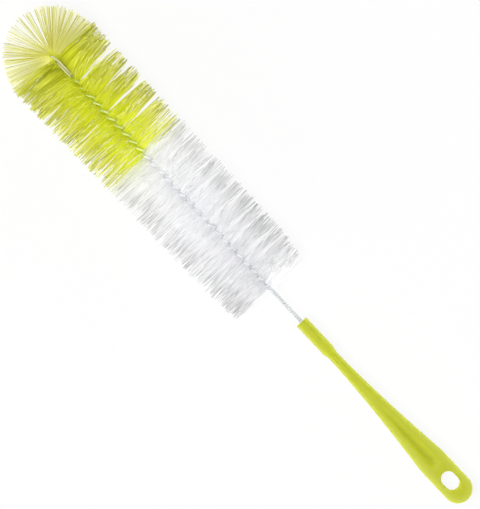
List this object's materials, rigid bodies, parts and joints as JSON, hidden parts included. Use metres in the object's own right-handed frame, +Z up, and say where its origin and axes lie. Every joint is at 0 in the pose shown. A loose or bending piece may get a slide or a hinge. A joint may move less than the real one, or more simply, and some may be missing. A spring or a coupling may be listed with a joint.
{
  "type": "bottle brush",
  "caption": "Long bottle brush: lime and white radial bristles on a twisted wire stem with a folded, fanned tip, and a moulded lime handle with a hanging hole.",
  "frame": {"origin": "on the surface that the brush lies on, under the middle of its whole length and on its stem's vertical plane", "axes": "+X along the stem from the handle to the tip, +Z up, square to the flat of the handle's paddle"},
  "size_m": [0.3936, 0.0616, 0.059],
  "materials": {
    "lime_polypropylene": "injection-moulded polypropylene, satin gloss, lime",
    "galvanised_wire": "drawn steel wire, galvanised, dull silver",
    "white_filament": "extruded nylon filament, milky white, slightly translucent",
    "lime_filament": "extruded nylon filament, lime, slightly translucent"
  },
  "bodies": {
    "root": {"handle": "lime_polypropylene", "wire_strand_a": "galvanised_wire", "wire_strand_b": "galvanised_wire", "white_bristles": "white_filament", "lime_bristles": "lime_filament", "tip_bristles": "lime_filament"}
  },
  "joints": []
}
